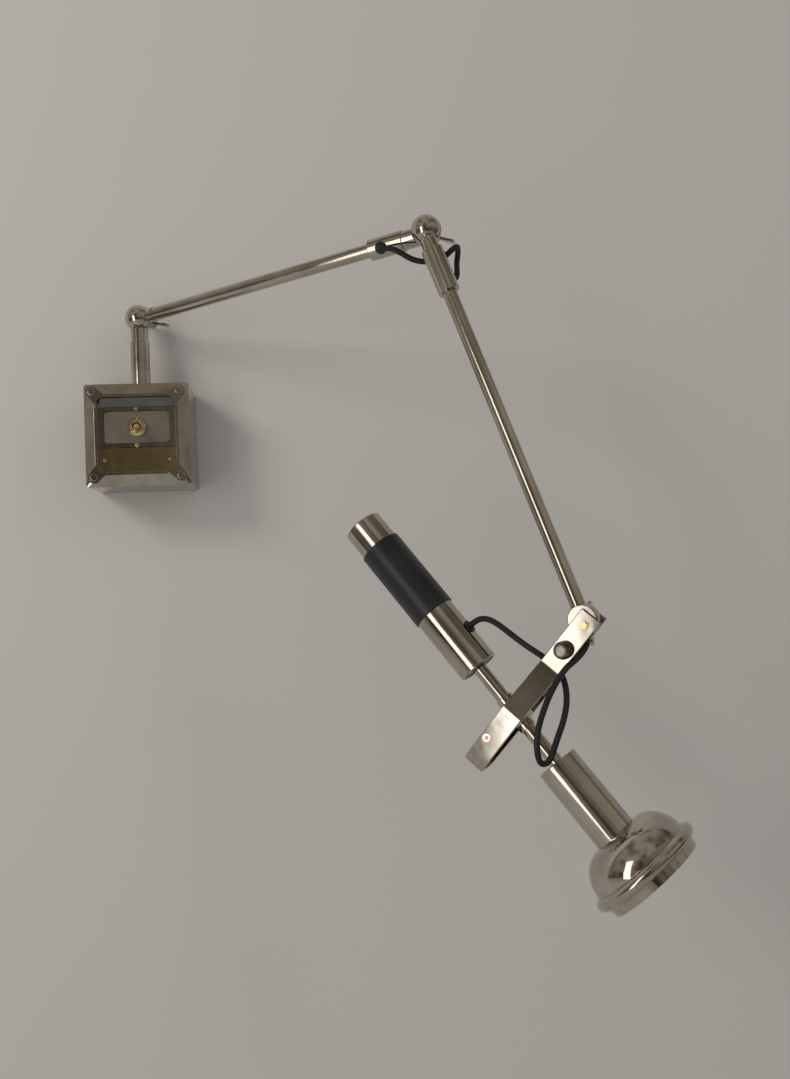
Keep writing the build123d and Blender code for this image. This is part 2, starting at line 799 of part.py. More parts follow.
with BuildPart() as wrist_ball:
    with Locations(wrist_ball_place):
        Sphere(ball_radius)
    bar(lower, 0, wrist_shoulder - 0.1, 2 * tube_diameter, Mode.SUBTRACT)
    bar(lower, wrist_shoulder - spigot_length, lower_length, tube_bore - 2 * snug)
    with BuildSketch(shifted(wrist_ball_place, out=-ball_flat)):
        Circle(2 * ball_radius)
    extrude(amount=2 * ball_flat, mode=Mode.INTERSECT)
    pin(wrist, -ball_radius, ball_radius, wrist_pin_diameter + 2 * running, Mode.SUBTRACT)
    bar(cord_way, ball_radius - cord_socket_depth, 2 * ball_radius, cord_diameter + cord_play,
        Mode.SUBTRACT)
wrist_ball.part.label = "wrist_ball"

with BuildPart() as wrist_pin:
    pin(wrist, leg_outer + wrist_ring_height, -wrist_pin_end, wrist_pin_diameter)
    pin(wrist, leg_outer + wrist_ring_height, leg_outer + wrist_ring_height + 1.6, wrist_pin_head)
wrist_pin.part.label = "wrist_pin"

with BuildPart() as wrist_wing_nut:
    wing_nut(wrist, wrist_nut_seat, wrist_leaf_angle - upper_rise - lower_turn, wrist_pin_diameter)
wrist_wing_nut.part.label = "wrist_wing_nut"

# ---------------------------------------------------------------- folded strip bracket
leg_line = leg_inner + strip_thickness / 2
kink_line = (strip_kink_gap + strip_thickness) / 2
tip_line = (strip_tip_gap + strip_thickness) / 2
tip_reach = strip_tip - strip_thickness / 2
leg_slope = (kink_line - leg_line) / (strip_kink - strip_bend)
tip_slope = (kink_line - tip_line) / (tip_reach - strip_kink)
rivet_line = kink_line - tip_slope * (rivet_reach - strip_kink)
ring_seat = rivet_line + strip_thickness / 2 - rivet_sink
knob_place = shifted(strip, along=stud_reach)
rivet_place = shifted(strip, along=rivet_reach, across=rivet_offset)
strip_side = Plane(strip.origin, x_dir=strip.x_dir, z_dir=-strip.y_dir)

with BuildPart() as bracket:
    with BuildSketch(strip_side):
        with BuildLine():
            FilletPolyline(
                (-strip_end, leg_line),
                (strip_bend, leg_line),
                (strip_kink, kink_line),
                (tip_reach, tip_line),
                (tip_reach, -tip_line),
                (strip_kink, -kink_line),
                (strip_bend, -leg_line),
                (-strip_end - strip_rear_extra, -leg_line),
                radius=[bend_radius, kink_radius, tip_radius, tip_radius, kink_radius, bend_radius],
            )
        trace(line_width=strip_thickness)
    extrude(amount=strip_width / 2, both=True)
    chamfer(bracket.edges(), edge_chamfer)
    pin(wrist, -2 * leg_outer, 2 * leg_outer, wrist_pin_diameter + 2 * snug, Mode.SUBTRACT)
    pin(knob_place, -2 * leg_outer, 2 * leg_outer, stud_diameter + 2 * snug, Mode.SUBTRACT)
    pin(clamp, -2 * kink_line, 2 * kink_line, trunnion_diameter + 2 * running, Mode.SUBTRACT)
    pin(rivet_place, -2 * kink_line, 2 * kink_line, rivet_diameter + 2 * snug, Mode.SUBTRACT)
    for side in (-1, 1):
        pin(rivet_place, side * ring_seat, side * 2 * kink_line, rivet_ring + 2 * snug, Mode.SUBTRACT)
bracket.part.label = "bracket"

with BuildPart() as knob_stud:
    pin(knob_place, -leg_outer - stud_head_height, leg_outer + stud_thread, stud_diameter)
    pin(knob_place, -leg_outer - stud_head_height, -leg_outer, stud_head)
knob_stud.part.label = "knob_stud"

knob_axis = Plane(knob_place.origin, x_dir=knob_place.z_dir, z_dir=knob_place.x_dir)
knob_seat = leg_outer + nut_play
with BuildPart() as thumb_knob:
    with BuildSketch(knob_axis):
        with BuildLine():
            Line((knob_seat, 0), (knob_seat, knob_diameter / 2 - 0.8))
            Line((knob_seat, knob_diameter / 2 - 0.8), (knob_seat + 0.8, knob_diameter / 2))
            Line((knob_seat + 0.8, knob_diameter / 2), (knob_seat + knob_rim, knob_diameter / 2))
            ThreePointArc(
                (knob_seat + knob_rim, knob_diameter / 2),
                (knob_seat + 0.72 * knob_height, 0.44 * knob_diameter),
                (knob_seat + knob_height, knob_face / 2),
            )
            Line((knob_seat + knob_height, knob_face / 2), (knob_seat + knob_height, 0))
            Line((knob_seat + knob_height, 0), (knob_seat, 0))
        make_face()
    revolve(axis=Axis(knob_axis.origin, knob_axis.x_dir))
    pin(knob_place, knob_seat, leg_outer + stud_thread + 0.5, stud_diameter + 2 * running, Mode.SUBTRACT)
thumb_knob.part.label = "thumb_knob"

with BuildPart() as copper_rivet:
    pin(rivet_place, -ring_seat - rivet_ring_height, ring_seat + rivet_ring_height + 0.5, rivet_diameter)
copper_rivet.part.label = "copper_rivet"

with BuildPart() as bracket_washers:
    washer(wrist, leg_outer, leg_outer + wrist_ring_height, wrist_ring_diameter,
           wrist_pin_diameter + 2 * snug)
    washer(wrist, -leg_outer, -wrist_nut_seat + nut_play, washer_diameter,
           wrist_pin_diameter + 2 * running)
    for side in (-1, 1):
        washer(rivet_place, side * ring_seat, side * (ring_seat + rivet_ring_height), rivet_ring,
               rivet_diameter + 2 * snug)
bracket_washers.part.label = "bracket_washers"

with BuildPart() as rivet_spacer:
    washer(rivet_place, -rivet_line, rivet_line, spacer_diameter, rivet_diameter + 2 * snug)
    add(bracket.part, mode=Mode.SUBTRACT)
rivet_spacer.part.label = "rivet_spacer"

# ---------------------------------------------------------------- rod clamp
leg_rise = strip_thickness / 2 * sqrt(1 + leg_slope ** 2)
drum_near = strip_kink - clamp_reach + drum_diameter / 2
drum_half = kink_line - leg_slope * drum_near - leg_rise - drum_play
trunnion_half = kink_line + strip_thickness / 2 - trunnion_sink

with BuildPart() as clamp_drum:
    pin(clamp, -drum_half, drum_half, drum_diameter)
    chamfer(clamp_drum.edges().filter_by(GeomType.CIRCLE), 0.6)
    pin(clamp, -trunnion_half, trunnion_half, trunnion_diameter)
    bar(head, -drum_diameter, drum_diameter, bush_diameter + 2 * running, Mode.SUBTRACT)
clamp_drum.part.label = "clamp_drum"

with BuildPart() as clamp_bush:
    bar(head, -bush_length / 2, bush_length / 2, bush_diameter)
    chamfer(clamp_bush.edges().filter_by(GeomType.CIRCLE), 0.5)
    bar(head, -bush_length / 2, bush_length / 2, rod_diameter + 2 * running, Mode.SUBTRACT)
clamp_bush.part.label = "clamp_bush"

# ---------------------------------------------------------------- rod and handle
with BuildPart() as rod:
    bar(head, rod_tail, rod_end, rod_diameter)
    bar(head, rod_tail, rod_end, rod_bore, Mode.SUBTRACT)
rod.part.label = "rod"

handle_bore = handle_diameter - 2 * handle_wall
head_gland_place = radial(head, head_gland_reach, head_gland_turn)
tube_top = handle_top + cap_thickness

with BuildPart() as handle:
    turned(
        head,
        [
            (tube_top, handle_bore / 2),
            (tube_top, handle_diameter / 2),
            (handle_bottom - 0.6, handle_diameter / 2),
            (handle_bottom, handle_diameter / 2 - 0.6),
            (handle_bottom, handle_bore / 2),
        ],
    )
    pin(head_gland_place, 0, handle_diameter, gland_diameter, Mode.SUBTRACT)
handle.part.label = "handle"

with BuildPart() as handle_cap:
    turned(
        head,
        [
            (handle_top, 0),
            (handle_top, handle_diameter / 2 - 1.0),
            (handle_top + 1.0, handle_diameter / 2),
            (tube_top, handle_diameter / 2),
            (tube_top, handle_bore / 2 - snug),
            (tube_top + cap_spigot, handle_bore / 2 - snug),
            (tube_top + cap_spigot, 0),
        ],
    )
handle_cap.part.label = "handle_cap"

with BuildPart() as handle_plug:
    bar(head, handle_bottom - plug_recess - plug_length, handle_bottom - plug_recess,
        handle_bore - 2 * snug)
    bar(head, handle_bottom - plug_recess - plug_length, handle_bottom, rod_diameter + 2 * snug,
        Mode.SUBTRACT)
handle_plug.part.label = "handle_plug"

with BuildPart() as grip_sleeve:
    turned(
        head,
        [
            (grip_top, handle_diameter / 2 + snug),
            (grip_top, grip_diameter / 2 - 0.5),
            (grip_top + 0.5, grip_diameter / 2),
            (grip_bottom - 0.5, grip_diameter / 2),
            (grip_bottom, grip_diameter / 2 - 0.5),
            (grip_bottom, handle_diameter / 2 + snug),
        ],
    )
grip_sleeve.part.label = "grip_sleeve"

with BuildPart() as handle_gland:
    gland(head_gland_place, handle_diameter / 2)
handle_gland.part.label = "handle_gland"

# ---------------------------------------------------------------- lamp housing, shade and bulb
holder_bore = holder_diameter - 2 * holder_wall
with BuildPart() as lamp_housing:
    turned(
        head,
        [
            (holder_top, rod_diameter / 2 + snug),
            (holder_top, holder_diameter / 2 - 0.6),
            (holder_top + 0.6, holder_diameter / 2),
            (holder_bottom + holder_diameter, holder_diameter / 2),
            (holder_bottom + holder_diameter, holder_bore / 2),
            (holder_top + holder_cap, holder_bore / 2),
            (holder_top + holder_cap, rod_diameter / 2 + snug),
        ],
    )
    split(bisect_by=section(lamp, 0), keep=Keep.BOTTOM)
lamp_housing.part.label = "lamp_housing"

with BuildPart() as rod_nut:
    with BuildSketch(section(head, holder_top + holder_cap)):
        RegularPolygon(rod_nut_width / 2, 6, major_radius=False)
        Circle(rod_diameter / 2 + snug, mode=Mode.SUBTRACT)
    extrude(amount=rod_nut_height)
rod_nut.part.label = "rod_nut"

socket_mouth = holder_bottom + shade_wall + shade_ring_height
with BuildPart() as lampholder:
    turned(
        head,
        [
            (socket_top, rod_diameter / 2 + snug),
            (socket_top, socket_diameter / 2 - 3.0),
            (socket_top + 3.0, socket_diameter / 2),
            (socket_mouth, socket_diameter / 2),
            (socket_mouth, socket_bore / 2),
            (socket_mouth - bulb_cap_length - 1.0, socket_bore / 2),
            (socket_mouth - bulb_cap_length - 1.0, 0),
            (rod_end, 0),
            (rod_end, rod_diameter / 2 + snug),
        ],
    )
lampholder.part.label = "lampholder"

dome_end = shade_dome_depth
bead_end = shade_dome_depth + shade_bead_height
bead_top = shade_dome_depth + shade_bead_height / 2
with BuildPart() as shade:
    with BuildSketch(lamp):
        with BuildLine():
            Line((0, shade_hole), (0, shade_flat))
            EllipticalCenterArc(
                (shade_dome_depth, shade_flat),
                shade_dome_depth,
                shade_dome_radius - shade_flat,
                start_angle=90,
                arc_size=90,
            )
            ThreePointArc(
                (dome_end, shade_dome_radius),
                (bead_top, shade_bead_radius),
                (bead_end, shade_dome_radius),
            )
            Line((bead_end, shade_dome_radius), (shade_depth, shade_rim_radius))
            Line((shade_depth, shade_rim_radius), (shade_depth, shade_rim_radius - shade_wall))
            Line((shade_depth, shade_rim_radius - shade_wall), (dome_end, shade_dome_radius - shade_wall))
            EllipticalCenterArc(
                (shade_dome_depth, shade_flat),
                shade_dome_depth - shade_wall,
                shade_dome_radius - shade_wall - shade_flat,
                start_angle=90,
                arc_size=90,
            )
            Line((shade_wall, shade_flat), (shade_wall, shade_hole))
            Line((shade_wall, shade_hole), (0, shade_hole))
        make_face()
    revolve(axis=Axis(lamp.origin, lamp.x_dir))
shade.part.label = "shade"

with BuildPart() as shade_ring:
    turned(
        lamp,
        [
            (shade_wall, shade_hole),
            (shade_wall, shade_ring_diameter / 2),
            (shade_wall + shade_ring_height, shade_ring_diameter / 2),
            (shade_wall + shade_ring_height, shade_hole),
        ],
    )
shade_ring.part.label = "shade_ring"

with BuildPart() as bulb_cap:
    bar(head, socket_mouth - bulb_cap_length, socket_mouth, bulb_cap_diameter)
bulb_cap.part.label = "bulb_cap"

with BuildPart() as bulb_glass:
    with Locations(section(head, bulb_centre)):
        Sphere(bulb_radius)
    bar(head, socket_mouth, bulb_centre, 2 * bulb_neck)
    bar(head, holder_top, socket_mouth, 2 * bulb_radius, Mode.SUBTRACT)
bulb_glass.part.label = "bulb_glass"

# ---------------------------------------------------------------- cords
# Each cord runs from a gland's face, square to it, through points beside its joint:
# along the wall's swivelled line, up, and out towards the room.
def cord(start, first, route, last, end):
    """A cord whose arcs are as large as their runs allow; returns its radii and length."""
    points = [start.origin, start.from_local_coords(Vector(0, 0, first)), *route]
    points += [end.from_local_coords(Vector(0, 0, last)), end.origin]
    radii = []
    for before, here, after in zip(points, points[1:], points[2:]):
        arrive, leave = here - before, after - here
        shorter = min(arrive.length, leave.length)
        radii.append(cord_ease * shorter / tan(radians(arrive.get_angle(leave)) / 2))
    with BuildLine() as path:
        FilletPolyline(*points, radius=radii)
    with BuildSketch(Plane(start.origin, z_dir=start.z_dir)) as end_face:
        Circle(cord_diameter / 2)
    track = path.wire()
    sweep(end_face.sketch, path=track)
    return radii, track.length


elbow_view = Plane(elbow.origin, x_dir=along_arm, z_dir=toward_room)
wrist_view = Plane(wrist_ball_place.origin, x_dir=along_arm, z_dir=toward_room)
gland_face = sleeve_diameter / 2 + gland_flange_height
elbow_route = [
    (-37.4, -12.8, 9.8),
    (-30.2, -13.5, 9.3),
    (-22.8, -17.7, 6.0),
    (-13.7, -24.4, 1.0),
    (-2.3, -26.8, -4.5),
    (10.6, -26.6, -6.3),
    (22.0, -18.8, -4.7),
    (24.4, -14.5, -11.5),
    (22.4, -18.7, -17.9),
    (20.8, -28.5, -17.0),
    (23.9, -39.8, -8.7),
]
head_route = [
    (-82.1, 3.2, 3.2),
    (-73.9, -0.1, 2.0),
    (-63.9, -8.1, 1.0),
    (-50.3, -19.3, 0.0),
    (-34.8, -29.5, -0.0),
    (-23.1, -38.1, 0.5),
    (-17.2, -49.5, 3.0),
    (-15.8, -63.8, 7.0),
    (-19.5, -80.2, 9.5),
    (-26.5, -97.8, 9.6),
    (-32.0, -113.6, 9.6),
    (-35.3, -117.2, 13.4),
    (-38.9, -115.8, 18.0),
    (-40.8, -105.5, 18.4),
    (-40.0, -89.0, 17.6),
    (-34.6, -71.5, 15.8),
    (-25.5, -53.3, 14.6),
    (-13.9, -37.7, 13.8),
    (-6.0, -31.9, 10.8),
    (-0.7, -25.9, 5.5),
]

with BuildPart() as elbow_cord:
    elbow_radii, elbow_cord_length = cord(
        shifted(upper_gland_place, out=gland_face),
        6.0,
        [elbow_view.from_local_coords(Vector(*place)) for place in elbow_route],
        6.0,
        shifted(lower_gland_place, out=gland_face),
    )
elbow_cord.part.label = "elbow_cord"

with BuildPart() as head_cord:
    head_radii, head_cord_length = cord(
        shifted(head_gland_place, out=handle_diameter / 2 + gland_flange_height),
        7.0,
        [wrist_view.from_local_coords(Vector(*place)) for place in head_route],
        8.5,
        section(cord_way, ball_radius - cord_socket_depth),
    )
head_cord.part.label = "head_cord"

cord_section = pi * cord_diameter ** 2 / 4
for piece, radii, length in (
    (elbow_cord, elbow_radii, elbow_cord_length),
    (head_cord, head_radii, head_cord_length),
):
    print(piece.part.label, "radii", [round(radius, 1) for radius in radii])
    print(f"length {length:.1f}, volume {piece.part.volume:.0f} of {cord_section * length:.0f}")

finished = [
    back_box, front_cover, cover_screws, inner_panel, header_bar, switch_frame, switch_plate,
    brass_fixings, label_plate, toggle_ring, toggle_lever, switch_body, terminal_block,
    post_socket, socket_nut, post_sleeve, swivel_clip, post_knuckle, shoulder_washers,
    shoulder_bolt, shoulder_wing_nut, arm_knuckle, upper_tube, upper_sleeve, upper_gland,
    elbow_rear_knuckle, elbow_washers, elbow_bolt, elbow_wing_nut, elbow_front_knuckle,
    lower_sleeve, lower_gland, lower_tube, wrist_ball, wrist_pin, wrist_wing_nut, bracket,
    bracket_washers, knob_stud, thumb_knob, copper_rivet, rivet_spacer, clamp_drum, clamp_bush,
    rod, handle, handle_cap, handle_plug, grip_sleeve, handle_gland,
    lamp_housing, rod_nut, lampholder, shade, shade_ring, bulb_cap, bulb_glass, elbow_cord,
    head_cord,
]
for piece in finished:
    export_step(piece.part, f"parts/{piece.part.label}.step")
print(len(finished), "pieces")
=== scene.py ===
import math

import bmesh
import bpy
from mathutils import Matrix, Vector


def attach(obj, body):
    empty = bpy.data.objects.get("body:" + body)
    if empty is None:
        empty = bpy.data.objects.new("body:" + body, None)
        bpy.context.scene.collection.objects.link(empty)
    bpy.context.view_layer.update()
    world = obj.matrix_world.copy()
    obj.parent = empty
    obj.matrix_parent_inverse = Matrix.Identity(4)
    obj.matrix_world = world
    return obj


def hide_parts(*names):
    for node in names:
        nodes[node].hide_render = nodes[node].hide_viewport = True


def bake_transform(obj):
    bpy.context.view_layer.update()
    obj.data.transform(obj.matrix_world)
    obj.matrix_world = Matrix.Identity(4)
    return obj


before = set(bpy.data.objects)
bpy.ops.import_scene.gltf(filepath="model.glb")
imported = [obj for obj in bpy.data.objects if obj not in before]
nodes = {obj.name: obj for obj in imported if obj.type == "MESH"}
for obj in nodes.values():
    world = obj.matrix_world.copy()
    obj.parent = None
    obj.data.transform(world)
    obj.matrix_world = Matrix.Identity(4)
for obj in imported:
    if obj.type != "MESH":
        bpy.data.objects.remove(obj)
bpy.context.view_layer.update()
scene = bpy.context.scene
print("loaded", len(nodes), "nodes")


# hex colour to the linear values that a shader takes
def toLinear(code):
    channels = [int(code[i:i + 2], 16) / 255 for i in (1, 3, 5)]
    return [c / 12.92 if c <= 0.04045 else ((c + 0.055) / 1.055) ** 2.4 for c in channels] + [1.0]


# a value that is another node's socket is linked, any other value is set
def addNode(tree, kind, settings=None, inputs=None):
    node = tree.nodes.new(kind)
    for name, value in (settings or {}).items():
        setattr(node, name, value)
    for name, value in (inputs or {}).items():
        if isinstance(value, bpy.types.NodeSocket):
            tree.links.new(value, node.inputs[name])
        else:
            node.inputs[name].default_value = value
    return node


def newMaterial(name):
    material = bpy.data.materials.new(name)
    material.use_nodes = True
    tree = material.node_tree
    tree.nodes.clear()
    shader = addNode(tree, "ShaderNodeBsdfPrincipled")
    output = addNode(tree, "ShaderNodeOutputMaterial", inputs={"Surface": shader.outputs[0]})
    output.target = "ALL"
    return material, tree, shader


def objectPoints(tree, scale=(1, 1, 1)):
    coords = addNode(tree, "ShaderNodeTexCoord")
    return addNode(tree, "ShaderNodeMapping", inputs={"Vector": coords.outputs["Object"], "Scale": scale}).outputs[0]


def noiseOf(tree, points, size, detail=3.0, roughness=0.55):
    return addNode(tree, "ShaderNodeTexNoise", inputs={
        "Vector": points, "Scale": 1.0 / size, "Detail": detail, "Roughness": roughness,
    }).outputs[0]


def spanOf(tree, value, low, high, fromLow=0.3, fromHigh=0.7):
    return addNode(tree, "ShaderNodeMapRange", inputs={
        "Value": value, "From Min": fromLow, "From Max": fromHigh, "To Min": low, "To Max": high,
    }).outputs[0]


# a Mix node keeps its two colours in sockets 6 and 7 and gives the mixed one from output 2
def blendOf(tree, factor, first, second):
    return addNode(tree, "ShaderNodeMix", {"data_type": "RGBA"}, {
        "Factor": factor, 6: toLinear(first), 7: toLinear(second),
    }).outputs[2]


# bare or plated metal: haze sets the tone, grit the fine scratches, and a bevel in the shading softens the edges
def plated(name, look):
    material, tree, shader = newMaterial(name)
    points = objectPoints(tree)
    haze = noiseOf(tree, points, look["haze"])
    wave = noiseOf(tree, points, look["wave"], detail=1.0)
    grit = noiseOf(tree, objectPoints(tree, look["grain"]), look["line"], detail=4.0, roughness=0.7)
    tree.links.new(blendOf(tree, spanOf(tree, haze, 0, 1), look["deep"], look["pale"]), shader.inputs["Base Color"])
    shader.inputs["Metallic"].default_value = 1.0
    low, high = look["roughness"]
    # half the roughness follows the grit and half the haze
    mixed = addNode(tree, "ShaderNodeMath", {"operation": "MULTIPLY_ADD"}, {
        0: grit, 1: 0.5, 2: spanOf(tree, haze, 0.0, 0.5),
    }).outputs[0]
    tree.links.new(spanOf(tree, mixed, low, high, 0.2, 0.8), shader.inputs["Roughness"])
    eased = addNode(tree, "ShaderNodeBevel", {"samples": 4}, {"Radius": look["edge"]})
    soft = addNode(tree, "ShaderNodeBump", inputs={
        "Strength": 1.0, "Distance": look["ripple"], "Height": wave, "Normal": eased.outputs[0],
    })
    fine = addNode(tree, "ShaderNodeBump", inputs={
        "Strength": 1.0, "Distance": look["scratch"], "Height": grit, "Normal": soft.outputs[0],
    })
    tree.links.new(fine.outputs[0], shader.inputs["Normal"])
    return material


# polished nickel plate over brass: a warm mirror, a little hazed by handling, with fine buffing marks
warmNickel = plated("polishedNickelPlate", {
    "deep": "#aea69b", "pale": "#cac5bc", "roughness": (0.045, 0.13), "haze": 0.028,
    "wave": 0.016, "line": 0.0009, "grain": (1, 1, 1), "ripple": 0.00006, "scratch": 0.000004, "edge": 0.0003,
})
# the box, its cast cover and screws: the same plate, darker, with a shorter and deeper ripple
castNickel = plated("buffedNickelCasting", {
    "deep": "#a0988e", "pale": "#bdb7ae", "roughness": (0.06, 0.15), "haze": 0.02,
    "wave": 0.012, "line": 0.0012, "grain": (1, 1, 1), "ripple": 0.00008, "scratch": 0.000005, "edge": 0.0008,
})
# nickel on drawn tube: the same mirror a shade duller, with longer waves
drawnNickel = plated("drawnNickelTube", {
    "deep": "#aca498", "pale": "#c6c0b6", "roughness": (0.07, 0.16), "haze": 0.03,
    "wave": 0.03, "line": 0.0010, "grain": (1, 1, 1), "ripple": 0.00004, "scratch": 0.000006, "edge": 0.0004,
})
# the switch frame and the panel behind it: a darker plate with short ripples
smokedNickel = plated("smokedNickelPlate", {
    "deep": "#8b857c", "pale": "#aaa49a", "roughness": (0.05, 0.13), "haze": 0.015,
    "wave": 0.007, "line": 0.0008, "grain": (1, 1, 1), "ripple": 0.00009, "scratch": 0.000004, "edge": 0.0006,
})
# the thumb knob: the same nickel with a painted dark reflection, its colour made darker still to stand in for the
# dark room it mirrors, with its turned edges shaded round into one dome
knobPaintedDarkNickel = plated("knobNickelPaintedDark", {
    "deep": "#5d5851", "pale": "#7d766d", "roughness": (0.05, 0.13), "haze": 0.01,
    "wave": 0.008, "line": 0.0008, "grain": (1, 1, 1), "ripple": 0.00004, "scratch": 0.000004, "edge": 0.0030,
})
# the header bar: satin blue-grey nickel, brushed from side to side
satinNickel = plated("satinBlueNickel", {
    "deep": "#92959a", "pale": "#9ea1a6", "roughness": (0.26, 0.33), "haze": 0.03,
    "wave": 0.02, "line": 0.0006, "grain": (0.15, 1, 1), "ripple": 0.00002, "scratch": 0.000008, "edge": 0.0004,
})
# plain turned steel inside
turnedSteel = plated("turnedSteel", {
    "deep": "#8d8d8b", "pale": "#a9a9a6", "roughness": (0.2, 0.35), "haze": 0.01,
    "wave": 0.006, "line": 0.0006, "grain": (1, 1, 1), "ripple": 0.00002, "scratch": 0.00001, "edge": 0.0003,
})
# aged brass sheet of the blank label: olive brown, still polished
agedBrass = plated("agedBrassSheet", {
    "deep": "#b3a27a", "pale": "#c3b38b", "roughness": (0.08, 0.16), "haze": 0.014,
    "wave": 0.02, "line": 0.0007, "grain": (1, 1, 1), "ripple": 0.00003, "scratch": 0.000006, "edge": 0.0004,
})
# turned brass of the toggle, pins and cap
brightBrass = plated("turnedBrass", {
    "deep": "#e0ca94", "pale": "#f6e6b8", "roughness": (0.16, 0.28), "haze": 0.006,
    "wave": 0.006, "line": 0.0005, "grain": (1, 1, 1), "ripple": 0.00003, "scratch": 0.000006, "edge": 0.0003,
})
# copper rivet, a little oxidised
rawCopper = plated("rawCopper", {
    "deep": "#a8644c", "pale": "#d08e76", "roughness": (0.16, 0.3), "haze": 0.002,
    "wave": 0.003, "line": 0.0004, "grain": (1, 1, 1), "ripple": 0.00004, "scratch": 0.00001, "edge": 0.0002,
})


# plastic, rubber and enamel: a slow change of tone under a fine grain
def moulded(name, look):
    material, tree, shader = newMaterial(name)
    points = objectPoints(tree)
    tone = noiseOf(tree, points, look["tone"])
    grain = noiseOf(tree, points, look["grain"], detail=5.0, roughness=0.6)
    tree.links.new(blendOf(tree, spanOf(tree, tone, 0, 1), look["deep"], look["pale"]), shader.inputs["Base Color"])
    tree.links.new(spanOf(tree, grain, *look["roughness"]), shader.inputs["Roughness"])
    shader.inputs["Specular IOR Level"].default_value = look["specular"]
    bump = addNode(tree, "ShaderNodeBump", inputs={"Strength": 1.0, "Distance": look["height"], "Height": grain})
    tree.links.new(bump.outputs[0], shader.inputs["Normal"])
    return material


# the handle's grip: satin black sleeve with a fine moulded grain
satinGrip = moulded("satinBlackGrip", {
    "deep": "#141519", "pale": "#1b1d22", "tone": 0.03, "grain": 0.0009, "roughness": (0.34, 0.46),
    "specular": 0.5, "height": 0.00003,
})
# round PVC flex and its rubber glands: matt black with a slight bloom
mattFlex = moulded("mattBlackFlex", {
    "deep": "#101012", "pale": "#1c1c1e", "tone": 0.012, "grain": 0.0007, "roughness": (0.5, 0.66),
    "specular": 0.45, "height": 0.00003,
})
# the switch's plate: dark warm-grey satin enamel over sheet
greyEnamel = moulded("warmGreyEnamel", {
    "deep": "#5a5246", "pale": "#665d50", "tone": 0.02, "grain": 0.0008, "roughness": (0.3, 0.42),
    "specular": 0.5, "height": 0.000012,
})
# pressed phenolic of the switch body, terminals, lampholder and handle plug
pressedPhenolic = moulded("pressedPhenolic", {
    "deep": "#17110e", "pale": "#241a15", "tone": 0.006, "grain": 0.0006, "roughness": (0.28, 0.4),
    "specular": 0.5, "height": 0.00001,
})


# the bulb: blown soda-lime glass, lightly etched, so that what is behind it shows blurred
bulbLook = {"colour": "#f4f3ee", "roughness": 0.16, "ior": 1.45, "wave": 0.009, "ripple": 0.00003}


def blownGlass(look):
    material, tree, shader = newMaterial("blownGlass")
    wave = noiseOf(tree, objectPoints(tree), look["wave"], detail=1.0)
    shader.inputs["Base Color"].default_value = toLinear(look["colour"])
    shader.inputs["Transmission Weight"].default_value = 1.0
    shader.inputs["Roughness"].default_value = look["roughness"]
    shader.inputs["IOR"].default_value = look["ior"]
    bump = addNode(tree, "ShaderNodeBump", inputs={"Strength": 1.0, "Distance": look["ripple"], "Height": wave})
    tree.links.new(bump.outputs[0], shader.inputs["Normal"])
    return material


etchedGlass = blownGlass(bulbLook)

finishes = {
    castNickel: ["back_box", "front_cover", "cover_screws"],
    warmNickel: [
        "post_knuckle", "arm_knuckle", "elbow_rear_knuckle", "elbow_front_knuckle", "wrist_ball",
        "shoulder_wing_nut", "elbow_wing_nut", "wrist_wing_nut", "bracket", "bracket_washers",
        "shoulder_washers", "elbow_washers", "clamp_drum", "clamp_bush", "rivet_spacer", "shade", "shade_ring",
        "handle_cap", "shoulder_bolt", "elbow_bolt", "knob_stud",
    ],
    drawnNickel: [
        "upper_tube", "lower_tube", "upper_sleeve", "lower_sleeve", "post_sleeve", "post_socket", "rod",
        "handle", "lamp_housing",
    ],
    smokedNickel: ["inner_panel", "switch_frame"],
    # the thumb knob's nickel carries a painted dark reflection in its colour
    knobPaintedDarkNickel: ["thumb_knob"],
    satinNickel: ["header_bar"],
    turnedSteel: ["socket_nut", "swivel_clip", "rod_nut"],
    agedBrass: ["label_plate"],
    brightBrass: ["brass_fixings", "toggle_ring", "toggle_lever", "wrist_pin", "bulb_cap"],
    rawCopper: ["copper_rivet"],
    satinGrip: ["grip_sleeve"],
    mattFlex: ["upper_gland", "lower_gland", "handle_gland", "elbow_cord", "head_cord"],
    greyEnamel: ["switch_plate"],
    pressedPhenolic: ["switch_body", "terminal_block", "lampholder", "handle_plug"],
    etchedGlass: ["bulb_glass"],
}
for material, names in finishes.items():
    for name in names:
        mesh = nodes[name].data
        mesh.materials.clear()
        mesh.materials.append(material)
left = set(nodes) - {name for names in finishes.values() for name in names}
print("finishes given, none left:", not left)


